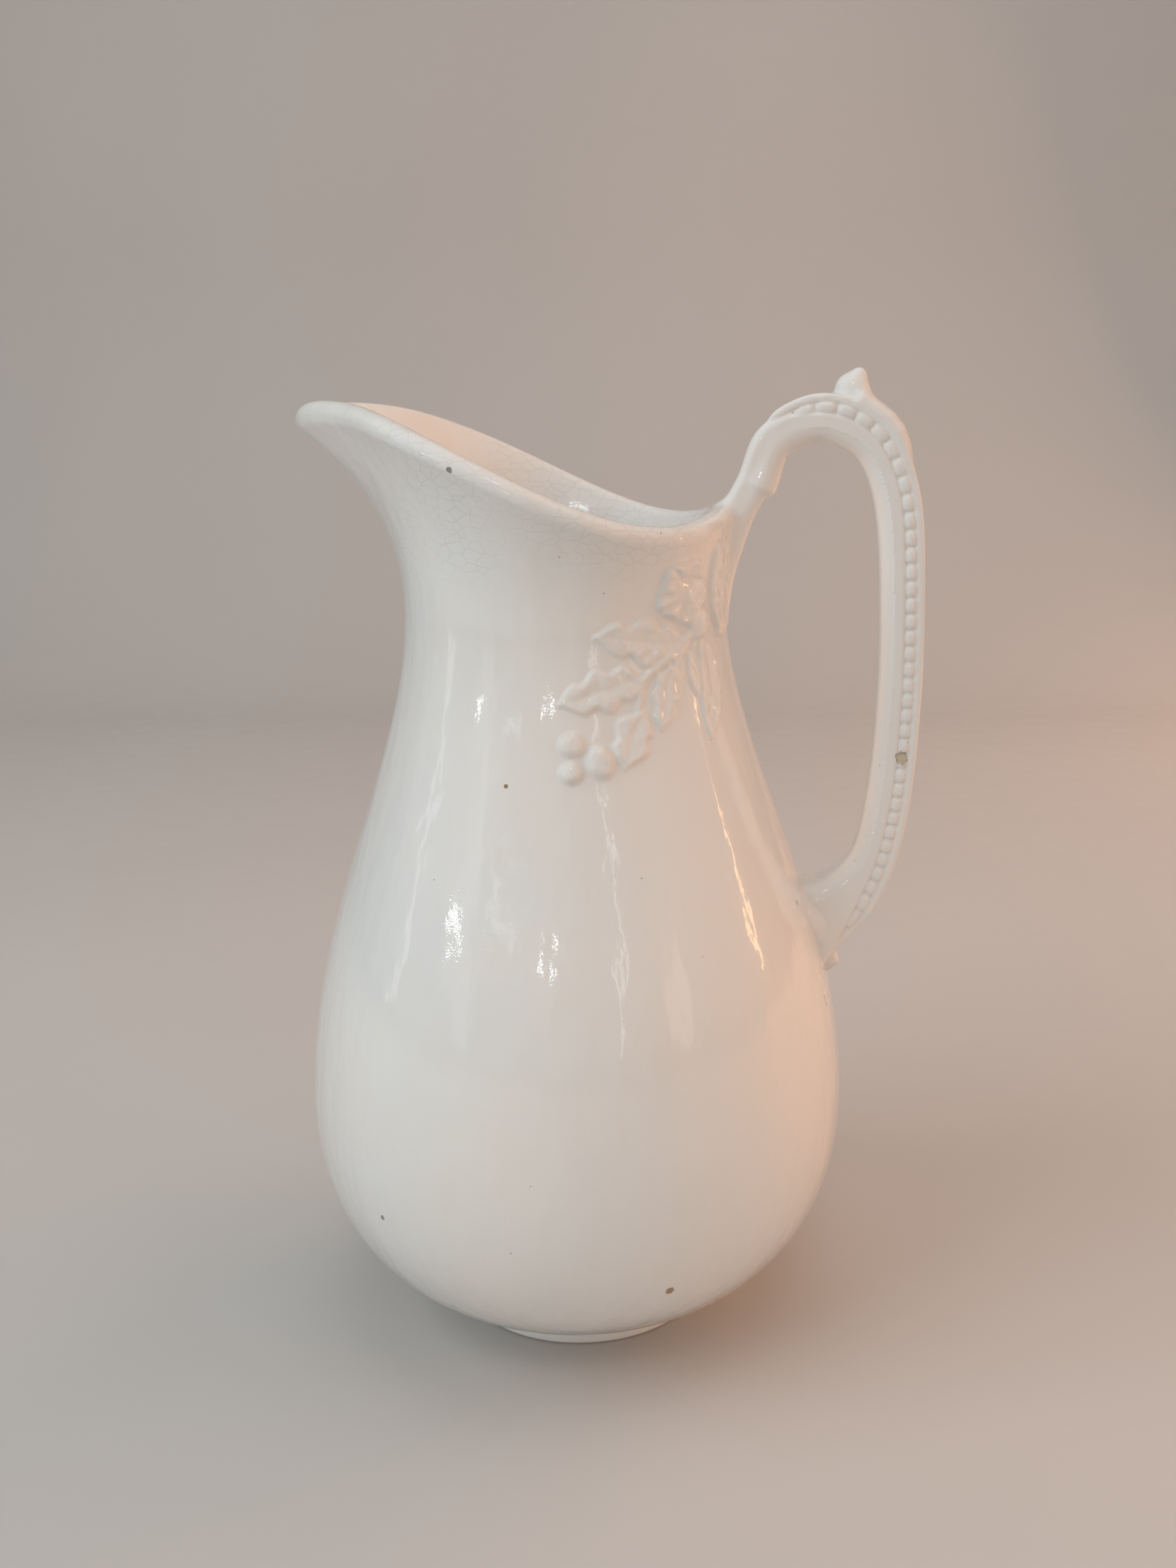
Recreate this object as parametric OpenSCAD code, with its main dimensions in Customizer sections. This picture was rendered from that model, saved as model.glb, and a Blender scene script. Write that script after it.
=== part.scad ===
// White ironstone water pitcher (ewer) with a flared pouring lip, an arched strap handle with beaded
// sides and a moulded spray of flowers and leaves on each side of the handle root.
// The origin is the centre of the foot on the table. +Z is up, +X points to the handle, -X to the spout.
// The left side is -Y and the right side is +Y, as seen by the person who pours.

/* [Body] */
// Radius of the belly at its widest
belly_r = 82; // [76:1:90]
// Radius of the neck at its narrowest
neck_r = 46; // [42:0.5:50]
// Thickness of the wall
wall = 5; // [4:0.5:6]
// Thickness of the floor
floor_t = 6; // [5:0.5:8]

/* [Foot] */
// Outer radius of the foot ring
foot_r = 39.5; // [36:0.5:44]
// Width of the foot ring
foot_w = 6; // [4:0.5:8]
// Height of the foot ring
foot_h = 3.5; // [3:0.5:5]

/* [Mouth] */
// Height of the middle of the rim
rim_z = 258.5; // [250:0.5:266]
// Radius of the middle of the rim
rim_r = 53.5; // [51:0.5:56]
// Reach of the spout beyond the rim
spout_reach = 13.6; // [10:0.2:16]
// Radius of the rounded lip
lip_r = 3.4; // [3:0.1:3.8]

/* [Handle] */
// Width of the strap from side to side
strap_w = 13; // [12:0.5:15]
// Thickness of the raised band along the back of the strap
band_t = 2.6; // [2:0.1:3.2]
// Width of the raised band
band_w = 10; // [6:0.5:11]
// Radius of one bead on the side of the strap
bead_r = 1.6; // [1.2:0.1:1.9]
// Distance from bead to bead
bead_pitch = 5; // [4.5:0.1:6]

/* [Relief] */
// Height of the leaves above the wall
leaf_h = 1.5; // [1:0.1:2]
// Height of the flower above the wall
flower_h = 2.6; // [2:0.1:3.4]
// Radius of the largest bud
bud_r = 4.4; // [3.6:0.1:5]

/* [Hidden] */

glaze = "whitesmoke";
sides = 60;             // points round the body
left = -1;              // the -Y side
right = 1;              // the +Y side

// Outline of the outer wall as control points of a smooth curve, each a radius and a height
shoulder = belly_r - neck_r;
outline = [[foot_r - 1.5, foot_h], [0.61 * belly_r, 10], [0.84 * belly_r, 23], [belly_r, 49.5],
           [belly_r + 0.5, 82.5], [neck_r + 0.81 * shoulder, 119], [neck_r + 0.44 * shoulder, 156.5],
           [neck_r + 0.08 * shoulder, 195.5], [neck_r, 221], [neck_r + 0.5, 250]];

// ---- Curves ----

// Point at t from 0 to 1 on one span of a uniform cubic B-spline
function span_point(a, b, c, d, t) =
    (pow(1 - t, 3) * a + (3 * pow(t, 3) - 6 * pow(t, 2) + 4) * b
     + (-3 * pow(t, 3) + 3 * pow(t, 2) + 3 * t + 1) * c + pow(t, 3) * d) / 6;

// Control points with one more at each end, so that the curve starts and ends on its own points
function padded(p) =
    let (n = len(p) - 1) concat([2 * p[0] - p[1]], p, [2 * p[n] - p[n - 1]]);

// Smooth curve along the control points, with the given number of steps to a span
function smooth(p, steps) =
    let (q = padded(p))
    [for (i = [0 : len(q) - 4]) for (s = [0 : steps - 1])
        span_point(q[i], q[i + 1], q[i + 2], q[i + 3], s / steps)];

// Curve that passes through each point in turn (Catmull-Rom)
function through(p, steps) =
    let (q = padded(p), n = len(q) - 4)
    [for (i = [0 : n]) for (s = [0 : (i == n ? steps : steps - 1)])
        let (t = s / steps)
        0.5 * (2 * q[i + 1] + (q[i + 2] - q[i]) * t
               + (2 * q[i] - 5 * q[i + 1] + 4 * q[i + 2] - q[i + 3]) * t * t
               + (3 * q[i + 1] - q[i] - 3 * q[i + 2] + q[i + 3]) * t * t * t)];

// Closed solid through a list of rings, each with the same number of points
module loft(rings) {
    n = len(rings[0]);
    last = len(rings) - 1;
    points = [for (ring = rings) for (p = ring) p];
    walls = [for (i = [0 : last - 1]) for (j = [0 : n - 1])
        let (k = (j + 1) % n, a = i * n + j, b = i * n + k, c = a + n, d = b + n)
        each [[a, b, d], [a, d, c]]];
    start = [for (j = [n - 1 : -1 : 0]) j];
    end = [for (j = [0 : n - 1]) last * n + j];
    polyhedron(points, concat([start], walls, [end]), convexity = 6);
}

// ---- Body ----

flare_z = 205;          // height where the neck starts to open into the mouth
wall_curve = smooth(outline, 3);
lower_wall = [for (p = wall_curve) if (p.y < flare_z) p];

// Height and radius of the rim's top line at angle a from the spout
function rim_height(a) =
    rim_z + 18.2 * cos(a) + 4.9 * cos(2 * a) - 2.5 * cos(3 * a) - 1.8 * exp(-pow(a / 9, 2));
function rim_radius(a) =
    rim_r + 6.8 * cos(a) - 1.2 * cos(2 * a) + spout_reach * exp(-pow(a / 19, 2));

// Radius of the plain wall at height z
function plain_radius(z) = lookup(z, [for (p = wall_curve) [p.y, p.x]]);

// Centre of the rounded lip at angle a, as a radius and a height
function lip_radius(a) = lip_r + 0.6 * exp(-pow(a / 25, 2));
function lip_centre(a) = [rim_radius(a), rim_height(a) - lip_radius(a)];

// Angle at which the wall leans out where it meets the lip
function lean(a) =
    let (c = lip_centre(a), l = lip_radius(a),
         first = atan(3 * (c.x + 0.7 * l - neck_r) / (c.y - 0.7 * l - flare_z)))
    atan(3 * (c.x + l * cos(first) - neck_r) / (c.y - l * sin(first) - flare_z));

// Edge of the lip on the outer wall (side 1) and on the inner wall (side -1)
function lip_edge(a, side) =
    lip_centre(a) + side * lip_radius(a) * [cos(lean(a)), -sin(lean(a))];

// Point on the flared wall: t runs from the flare's start to the lip
function flared(a, t, side) =
    let (edge = lip_edge(a, side), z = flare_z + t * (edge.y - flare_z),
         base = plain_radius(z) - (side < 0 ? wall : 0),
         base_end = plain_radius(edge.y) - (side < 0 ? wall : 0))
    [base + (edge.x - base_end) * pow(t, 3), z];

// Radius of the outer wall at angle a from the spout and height z
function outer_radius(a, z) =
    let (edge = lip_edge(a, 1), t = (z - flare_z) / (edge.y - flare_z))
    z < flare_z ? plain_radius(z)
                : plain_radius(z) + (edge.x - plain_radius(edge.y)) * pow(min(t, 1), 3);

// Angle of the ring's point j from the spout, from -180 to 180
function turn_of(j) = (j / sides) * 360 - 180;

// One ring of the wall from a function of the angle, given as radius and height
function at_angle(a, rz) = [-rz.x * cos(a), rz.x * sin(a), rz.y];

function ring_plain(p) = [for (j = [0 : sides - 1]) at_angle(turn_of(j), p)];
function ring_flared(t, side) =
    [for (j = [0 : sides - 1]) let (a = turn_of(j)) at_angle(a, flared(abs(a), t, side))];
function ring_lip(turn) =
    [for (j = [0 : sides - 1])
        let (a = turn_of(j), b = turn - lean(abs(a)))
        at_angle(a, lip_centre(abs(a)) + lip_radius(abs(a)) * [cos(b), sin(b)])];

// Inner wall up to the flare: the outer curve moved in by the wall, above the rounded floor
floor_z = foot_h + floor_t;
floor_round = 18;       // height over which the floor curves up into the wall
function inner_point(p) =
    let (lift = max(0, 1 - (p.y - foot_h) / floor_round))
    [(p.x - wall) - 2 * lift, p.y + floor_t * lift * 0.9];
inner_wall = [for (p = lower_wall) if (p.y > foot_h + 1) inner_point(p)];

module body_shell() {
    flare_steps = [for (i = [0 : 5]) i / 6];
    color(glaze)
    loft(concat(
        [for (p = lower_wall) ring_plain(p)],
        [for (t = flare_steps) ring_flared(t, 1)],
        [for (turn = [0 : 30 : 180]) ring_lip(turn)],
        [for (i = [5 : -1 : 0]) ring_flared(flare_steps[i], -1)],
        [for (i = [len(inner_wall) - 1 : -1 : 0]) ring_plain(inner_wall[i])],
        [ring_plain([inner_wall[0].x * 0.8, floor_z])]));
}

// Solid that fills the body out to its outer wall, for trimming what joins it
module body_envelope() {
    loft(concat(
        [for (i = [0 : 2 : len(lower_wall) - 1]) ring_plain(lower_wall[i])],
        [for (t = [0 : 0.25 : 1]) ring_flared(t, 1)]));
}

// ---- Foot ----

module foot_ring() {
    round_r = 1;        // rounding of the foot's lower edges
    color(glaze)
    rotate_extrude($fn = 96)
    union() {
        translate([foot_r - foot_w, round_r])
        square([foot_w, foot_h - round_r]);
        translate([foot_r - foot_w + round_r, 0])
        square([foot_w - 2 * round_r, foot_h]);
        for (x = [foot_r - foot_w + round_r, foot_r - round_r])
            translate([x, round_r])
            circle(r = round_r, $fn = 32);
    }
}

// ---- Handle ----

// Centre line of the handle in the XZ plane, with the strap's thickness at each point
strap_path = [[44.8, 221.6, 5.6], [46, 230, 7.6], [47.9, 238, 9.5], [50.6, 246, 10.5], [55.2, 254.4, 11.2],
              [58.8, 262.2, 11], [63.4, 267.4, 12.4], [70.4, 270.4, 13.2], [77.2, 270.2, 13.4],
              [84, 267.2, 13.2], [89.2, 262.2, 13], [92.9, 255, 12.6], [95.8, 243, 12.2],
              [97.1, 222, 11.8], [97, 196, 11.6], [95.5, 172, 11.8], [93.2, 155, 12],
              [90, 142, 12.4], [85.4, 133, 14], [79, 126.8, 17.2], [70.5, 122, 20]];
strap = through(strap_path, 3);

// Unit vector along a list of centre points at place i, and the vector to its outer side
function along(path, i) =
    let (a = path[max(i - 1, 0)], b = path[min(i + 1, len(path) - 1)],
         d = [b.x - a.x, b.y - a.y])
    d / norm(d);
function outward(path, i) = let (d = along(path, i)) [-d.y, d.x];

// Point of the handle: n towards its back and y sideways from the centre line
function on_strap(i, n, y) =
    let (o = outward(strap, i)) [strap[i].x + n * o.x, y, strap[i].y + n * o.y];

// Corner of a rounded bar's section: an arc of a circle given as points [n, y]
function corner(n, y, r, from) =
    [for (s = [0 : 3]) let (a = from + s * 30) [n + r * cos(a), y + r * sin(a)]];

// Section of a rounded bar from n0 to n1, of width w, with corners of radius r0 and r1
function bar(n0, n1, w, r0, r1) =
    concat(corner(n1 - r1, w / 2 - r1, r1, 0), corner(n0 + r0, w / 2 - r0, r0, 90),
           corner(n0 + r0, r0 - w / 2, r0, 180), corner(n1 - r1, r1 - w / 2, r1, 270));

function strap_section(i) =
    let (t = strap[i].z)
    [for (p = bar(-t / 2, t / 2 - band_t, strap_w, min(t * 0.32, t - band_t - 1.2), 0.8))
        on_strap(i, p.x, p.y)];

// The strap between two places along it
module strap_solid(from = 0, to = len(strap) - 1) {
    loft([for (i = [from : to]) strap_section(i)]);
}

module handle_strap() {
    color(glaze)
    difference() {
        strap_solid();
        body_envelope();
    }
}

band_from = 19;         // first place along the strap that carries the band
band_to = len(strap) - 4;
module handle_back_band() {
    color(glaze)
    loft([for (i = [band_from : band_to])
        let (t = strap[i].z)
        [for (p = bar(t / 2 - band_t, t / 2, band_w, 0.2, 1.4)) on_strap(i, p.x, p.y)]]);
}

// Rows of beads on the flat sides of the strap
function path_length(p, i) =
    i == 0 ? 0 : path_length(p, i - 1) + norm([p[i].x - p[i - 1].x, p[i].y - p[i - 1].y]);
lengths = [for (i = [0 : len(strap) - 1]) path_length(strap, i)];
bead_start = lengths[24];
bead_end = lengths[len(strap) - 7];
bead_n = 0.12;          // place of the beads across the strap, as a share of its thickness
function place_at(s) =
    let (k = lookup(s, [for (i = [0 : len(strap) - 1]) [lengths[i], i]]), i = floor(k), f = k - i,
         a = on_strap(i, bead_n * strap[i].z, 0),
         b = on_strap(min(i + 1, len(strap) - 1), bead_n * strap[i].z, 0))
    a + f * (b - a);

module bead_row(side) {
    color(glaze)
    for (s = [bead_start : bead_pitch : bead_end])
        translate(place_at(s) + [0, side * strap_w / 2, 0])
        rotate([-90 * side, 0, 0])
        rotate_extrude($fn = 32)
        intersection() {
            circle(r = bead_r, $fn = 32);
            square(2 * bead_r);
        }
}

// Thumb spur: a stout horn on top of the arch, given as its middle, height and length at each level
spur_path = [[85, 272, 15], [82.8, 276.5, 12.5], [81.9, 279.5, 9.2], [82.6, 281.8, 7],
             [83.5, 283.3, 4.6], [84.3, 284.1, 1.8]];
module thumb_spur() {
    color(glaze)
    difference() {
        loft([for (p = spur_path)
            [for (a = [0 : 30 : 330]) [p.x + p.z / 2 * cos(a), p.z * 0.32 * sin(a), p.y]]]);
        strap_solid(18, 32);
    }
}

// Calyx: a swollen collar round the upper root of the handle
calyx_swell = [[9, 0.2], [10, 1.1], [12, 1.6], [14, 1.1], [16, 0.2]];
module upper_calyx() {
    color(glaze)
    difference() {
        loft([for (c = calyx_swell)
            let (i = c.x, t = strap[i].z)
            [for (a = [0 : 20 : 340])
                on_strap(i, -band_t / 2 + (t / 2 - band_t / 2 + c.y) * cos(a) * 1.05,
                         (strap_w / 2 + c.y) * sin(a) * 1.02)]]);
        strap_solid(7, 18);
    }
}

// ---- Relief on the wall ----

// Point above the outer wall. u and v are distances round and up from angle a and height z.
function on_wall(side, a, z, u, v, h) =
    let (r = outer_radius(a, z), b = a + u / r * 180 / PI, w = z + v,
         q = outer_radius(min(abs(b), 180), w) + h)
    [-q * cos(b), side * q * sin(b), w];

// Raised patch with a closed outline. reach gives the outline's radius at an angle,
// and rise gives the height at a share of that radius.
module patch(side, a, z, reach, rise, tilt = 0, points = 20) {
    shares = [1 / 3, 2 / 3];
    angles = [for (j = [0 : points - 1]) j * 360 / points];
    function spot(j, f, h) =
        let (r = f * reach(angles[j]), d = angles[j] + tilt)
        on_wall(side, a, z, r * cos(d), r * sin(d), h);
    top = [for (f = shares) for (j = [0 : points - 1]) spot(j, f, rise(f))];
    base = [for (f = shares) for (j = [0 : points - 1]) spot(j, f, 0)];
    edge = [for (j = [0 : points - 1]) spot(j, 1, 0)];
    n = points;
    all = concat(top, edge, base, [on_wall(side, a, z, 0, 0, rise(0)), on_wall(side, a, z, 0, 0, 0)]);
    function band(from, to) = [for (j = [0 : n - 1])
        let (k = (j + 1) % n) each [[from + j, to + j, to + k], [from + j, to + k, from + k]]];
    function flipped(faces) = [for (f = faces) [f[2], f[1], f[0]]];
    upper = concat([for (j = [0 : n - 1]) [5 * n, j, (j + 1) % n]], band(0, n), band(n, 2 * n));
    lower = concat([for (j = [0 : n - 1]) [5 * n + 1, 3 * n + j, 3 * n + (j + 1) % n]],
                   band(3 * n, 4 * n), band(4 * n, 2 * n));
    faces = concat(upper, flipped(lower));
    polyhedron(all, side > 0 ? faces : flipped(faces), convexity = 4);
}

// Ribbon that follows the wall along points [u, v], w wide and h high
module ribbon(side, a, z, path, w, h) {
    n = len(path) - 1;
    function across(i) =
        let (d = path[min(i + 1, n)] - path[max(i - 1, 0)]) [-d.y, d.x] / norm(d);
    function section(i) =
        let (p = path[i], c = across(i), taper = 1 - 0.5 * i / n)
        [for (s = [[-1, 0], [-0.6, 0.8], [0, 1], [0.6, 0.8], [1, 0]])
            on_wall(side, a, z, p.x + s.x * w / 2 * taper * c.x, p.y + s.x * w / 2 * taper * c.y,
                    s.y * h * taper)];
    rings = [for (i = [0 : n]) section(i)];
    loft(side > 0 ? rings : [for (r = rings) [for (j = [4 : -1 : 0]) r[j]]]);
}

// Outlines
ruffled = function (r) function (d) r * (1 + 0.07 * cos(9 * d));
pointed = function (long, wide) function (d)
    long * wide / sqrt(pow(wide * cos(d), 2) + pow(long * sin(d), 2)) * (0.86 + 0.14 * pow(cos(d), 4));
lobed = function (long, wide) function (d)
    long * wide / sqrt(pow(wide * cos(d), 2) + pow(long * sin(d), 2)) * (1 + 0.13 * cos(7 * d));
round_outline = function (r) function (d) r;

// Heights
domed = function (h) function (f) h * sqrt(1 - 0.97 * f * f);
cupped = function (h) function (f) h * (0.55 + 0.75 * f - 0.5 * f * f);

// The middle of the spray: the tie that the stems spring from
tie_a = 145;
tie_z = 216;

module flower(side) {
    color(glaze)
    patch(side, 137.5, 225.8, ruffled(8), cupped(flower_h), points = 27);
}

module spray_tie(side) {
    color(glaze)
    patch(side, tie_a, tie_z - 1, pointed(5, 3.6), domed(3), tilt = 80);
}

module root_leaf(side) {
    color(glaze)
    patch(side, 160, 224, pointed(12.5, 4.6), domed(leaf_h), tilt = 78);
}

module lobed_leaves(side) {
    color(glaze) {
        patch(side, 117, 212.5, lobed(12.5, 6.4), domed(leaf_h), tilt = -17, points = 21);
        patch(side, 102.5, 201, lobed(11, 6.6), domed(leaf_h), tilt = -25, points = 21);
        patch(side, 126.5, 197.5, lobed(8.5, 6), domed(leaf_h), tilt = 40, points = 21);
        patch(side, 115.5, 188, lobed(9.5, 6), domed(leaf_h), tilt = 75, points = 21);
    }
}

module pointed_leaf(side) {
    color(glaze)
    patch(side, 148.5, 196.5, pointed(12.5, 5.4), domed(leaf_h), tilt = 76);
}

module buds(side) {
    color(glaze) {
        patch(side, 96.6, 188, round_outline(bud_r * 0.8), domed(bud_r * 0.6), points = 16);
        patch(side, 105.2, 183, round_outline(bud_r), domed(bud_r * 0.6), points = 16);
        patch(side, 96.2, 179.8, round_outline(bud_r * 0.8), domed(bud_r * 0.6), points = 16);
    }
}

// Stems from the tie, each a curve through [u, v] points round and down from it
stem_routes = [[[-4, -3], [-12, -6], [-22, -11], [-30, -14]],
               [[-3, -6], [-9, -14], [-18, -22], [-28, -26]],
               [[-1, -6], [-3, -14], [-8, -24]],
               [[1, -6], [3, -11], [4, -15]]];
module spray_stems(side) {
    color(glaze)
    for (route = stem_routes)
        ribbon(side, tie_a, tie_z, through(route, 4), 2.4, 1.5);
}

// Leaf-shaped tongue below the lower root of the handle
module lower_terminal() {
    color(glaze)
    difference() {
        patch(right, 180, 118, pointed(11.5, 10.5), domed(4.2), tilt = 90);
        strap_solid(len(strap) - 7);
    }
}

body_shell();
foot_ring();
handle_strap();
handle_back_band();
thumb_spur();
upper_calyx();
lower_terminal();
bead_row(left);  // bead_row_left
bead_row(right);  // bead_row_right
flower(left);  // flower_left
flower(right);  // flower_right
spray_tie(left);  // spray_tie_left
spray_tie(right);  // spray_tie_right
spray_stems(left);  // spray_stems_left
spray_stems(right);  // spray_stems_right
root_leaf(left);  // root_leaf_left
root_leaf(right);  // root_leaf_right
lobed_leaves(left);  // lobed_leaves_left
lobed_leaves(right);  // lobed_leaves_right
pointed_leaf(left);  // pointed_leaf_left
pointed_leaf(right);  // pointed_leaf_right
buds(left);  // buds_left
buds(right);  // buds_right
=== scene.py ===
from math import cos, pi, radians, sin

import bpy
import numpy as np
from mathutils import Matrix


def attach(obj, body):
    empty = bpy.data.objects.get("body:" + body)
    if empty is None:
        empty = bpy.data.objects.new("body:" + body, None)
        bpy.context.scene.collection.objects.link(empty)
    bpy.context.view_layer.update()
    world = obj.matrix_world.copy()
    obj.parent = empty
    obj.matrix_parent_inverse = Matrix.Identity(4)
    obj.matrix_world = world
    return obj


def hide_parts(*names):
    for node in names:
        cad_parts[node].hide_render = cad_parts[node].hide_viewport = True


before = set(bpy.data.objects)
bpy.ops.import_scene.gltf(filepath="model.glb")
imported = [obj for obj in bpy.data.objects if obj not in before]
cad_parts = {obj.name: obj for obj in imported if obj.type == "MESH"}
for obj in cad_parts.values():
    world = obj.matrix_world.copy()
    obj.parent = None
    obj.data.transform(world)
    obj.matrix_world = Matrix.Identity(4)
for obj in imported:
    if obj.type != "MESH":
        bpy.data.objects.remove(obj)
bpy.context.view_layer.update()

import openvdb
from mathutils import Matrix, Vector

MM = 0.001
SIDES = {"left": -1, "right": 1}


# ---- Small tools ----

def soft_min(a, b, k):
    """The lower of two fields, rounded where they meet over a width of about k."""
    h = np.maximum(k - np.abs(a - b), 0) / k
    return np.minimum(a, b) - h ** 3 * k / 6


def soft_max(a, b, k):
    """The higher of two fields, rounded in the same way."""
    return -soft_min(-a, -b, k)


def ease(low, high, x):
    """0 below low, 1 above high and a smooth step between."""
    t = np.clip((x - low) / (high - low), 0, 1)
    return t * t * (3 - 2 * t)


def b_spline(points, steps):
    """Points of the uniform cubic B-spline that starts and ends at the ends of points."""
    p = np.array(points, float)
    p = np.vstack([2 * p[0] - p[1], p, 2 * p[-1] - p[-2]])
    t = (np.arange(steps) / steps)[:, None]
    weights = [(1 - t) ** 3, 3 * t ** 3 - 6 * t ** 2 + 4, -3 * t ** 3 + 3 * t ** 2 + 3 * t + 1, t ** 3]
    spans = [sum(w * p[i + j] for j, w in enumerate(weights)) / 6 for i in range(len(p) - 3)]
    return np.vstack(spans + [p[-2][None]])


class Path:
    """A smooth curve through rows: two columns are its places in a plane, the others vary along it.

    s is the distance along it, and knots holds s at each row.
    """

    def __init__(self, rows, steps=24):
        rows = np.array(rows, float)
        n = len(rows)
        system = np.eye(n)
        right = np.zeros_like(rows)
        for i in range(1, n - 1):
            system[i, i - 1:i + 2] = 1, 4, 1
            right[i] = 6 * (rows[i - 1] - 2 * rows[i] + rows[i + 1])
        bend = np.linalg.solve(system, right)
        t = np.linspace(0, n - 1, (n - 1) * steps + 1)
        i = np.minimum(t.astype(int), n - 2)
        f = (t - i)[:, None]
        self.rows = ((1 - f) * rows[i] + f * rows[i + 1]
                     + ((1 - f) ** 3 - (1 - f)) * bend[i] / 6 + (f ** 3 - f) * bend[i + 1] / 6)
        gaps = np.hypot(*np.diff(self.rows[:, :2], axis=0).T)
        self.s = np.concatenate([[0], np.cumsum(gaps)])
        self.length = self.s[-1]
        self.knots = self.s[::steps]
        tangent = np.gradient(self.rows[:, :2], self.s, axis=0)
        self.tangent = tangent / np.linalg.norm(tangent, axis=1)[:, None]

    def at(self, s, column):
        return np.interp(s, self.s, self.rows[:, column])

    def locate(self, p, q):
        """For points (p, q): s of the nearest place, the offset to its left and how far past an end."""
        p, q = np.broadcast_arrays(p, q)
        shape = p.shape
        p, q = p.ravel(), q.ravel()
        nearest = np.empty(len(p), int)
        batch = 20000
        for i in range(0, len(p), batch):
            part = slice(i, i + batch)
            gap = ((p[part, None] - self.rows[None, :, 0]) ** 2
                   + (q[part, None] - self.rows[None, :, 1]) ** 2)
            nearest[part] = gap.argmin(axis=1)
        foot, way = self.rows[nearest], self.tangent[nearest]
        step = (p - foot[:, 0]) * way[:, 0] + (q - foot[:, 1]) * way[:, 1]
        s = np.clip(self.s[nearest] + step, 0, self.length)
        tx, ty = np.interp(s, self.s, self.tangent[:, 0]), np.interp(s, self.s, self.tangent[:, 1])
        left = -(p - self.at(s, 0)) * ty + (q - self.at(s, 1)) * tx
        past = (p - self.at(s, 0)) * tx + (q - self.at(s, 1)) * ty
        return s.reshape(shape), left.reshape(shape), past.reshape(shape)


# ---- Body ----

BELLY_R, NECK_R = 82, 46
SHOULDER = BELLY_R - NECK_R
FOOT_Z = 3.5
WALL = 5
# From FLARE_Z up the wall leaves its round outline for the lip, along a curve of this power
FLARE_Z, FLARE_POWER = 205, 3
OUTLINE = b_spline([[38, FOOT_Z], [0.61 * BELLY_R, 10], [0.84 * BELLY_R, 23], [BELLY_R, 49.5],
                    [BELLY_R + 0.5, 82.5], [NECK_R + 0.81 * SHOULDER, 119],
                    [NECK_R + 0.44 * SHOULDER, 156.5], [NECK_R + 0.08 * SHOULDER, 195.5],
                    [NECK_R, 221], [NECK_R + 0.5, 250]], 60)


def rim_height(a):
    """Top of the lip: a saddle, high at the spout and at the handle, with a dip at the spout's tip."""
    r = np.radians(a)
    return (258.5 + 18.2 * np.cos(r) + 4.9 * np.cos(2 * r) - 2.5 * np.cos(3 * r)
            - 1.8 * np.exp(-(a / 9) ** 2))


def rim_radius(a):
    """Distance of the lip's centre from the axis, long at the narrow spout."""
    r = np.radians(a)
    return 53.5 + 6.8 * np.cos(r) - 1.2 * np.cos(2 * r) + 13.6 * np.exp(-(a / 19) ** 2)


def lip(a):
    """Radius and centre (r, z) of the round lip."""
    size = 3.4 + 0.6 * np.exp(-(a / 25) ** 2)
    return size, rim_radius(a), rim_height(a) - size


def lip_lean(a):
    """How far the wall leans outwards where it meets the lip, in radians, found in two steps."""
    size, r, z = lip(a)
    first = np.arctan(FLARE_POWER * (r + 0.7 * size - NECK_R) / (z - 0.7 * size - FLARE_Z))
    run, rise = r + size * np.cos(first) - NECK_R, z - size * np.sin(first) - FLARE_Z
    return np.arctan(FLARE_POWER * run / rise)


def wall_edge(a, side):
    """Where the wall's outer (1) or inner (-1) face meets the lip."""
    size, r, z = lip(a)
    lean = lip_lean(a)
    return r + side * size * np.cos(lean), z - side * size * np.sin(lean)


def plain(z):
    """Radius of the round outline at height z."""
    return np.interp(z, OUTLINE[:, 1], OUTLINE[:, 0])


def wobble(a, z):
    """The slight unevenness of a hand-finished wall."""
    r = np.radians(a)
    return 0.16 * np.cos(2 * r + 0.6) * np.sin(z / 61) + 0.1 * np.cos(3 * r - z / 48) * np.sin(z / 37)


def wall(a, z, side=1):
    """Radius of the wall's outer (1) or inner (-1) face."""
    base = 0 if side > 0 else WALL
    edge_r, edge_z = wall_edge(a, side)
    t = np.clip((z - FLARE_Z) / (edge_z - FLARE_Z), 0, 1)
    fade = ease(1, 0.8, t) * ease(FOOT_Z, 20, z)
    return plain(z) - base + (edge_r - plain(edge_z) + base) * t ** FLARE_POWER + wobble(a, z) * fade


def on_wall(a, z, turn, h=0.0):
    """Points h outside the wall at angle a; turn is -1 on the left side and 1 on the right."""
    d = 0.2
    r = wall(a, z)
    ar = np.radians(a)
    out = np.stack([-np.cos(ar), turn * np.sin(ar), np.zeros_like(ar)], -1)
    around = np.stack([np.sin(ar), turn * np.cos(ar), np.zeros_like(ar)], -1)
    up_slope = (wall(a, z + d) - wall(a, z - d)) / (2 * d)
    turn_slope = (wall(a + d, z) - wall(a - d, z)) / np.radians(2 * d) / r
    normal = out - turn_slope[..., None] * around - up_slope[..., None] * np.array([0, 0, 1.0])
    normal /= np.linalg.norm(normal, axis=-1)[..., None]
    place = out * r[..., None]
    place[..., 2] = z
    return place + normal * np.asarray(h)[..., None]


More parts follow.
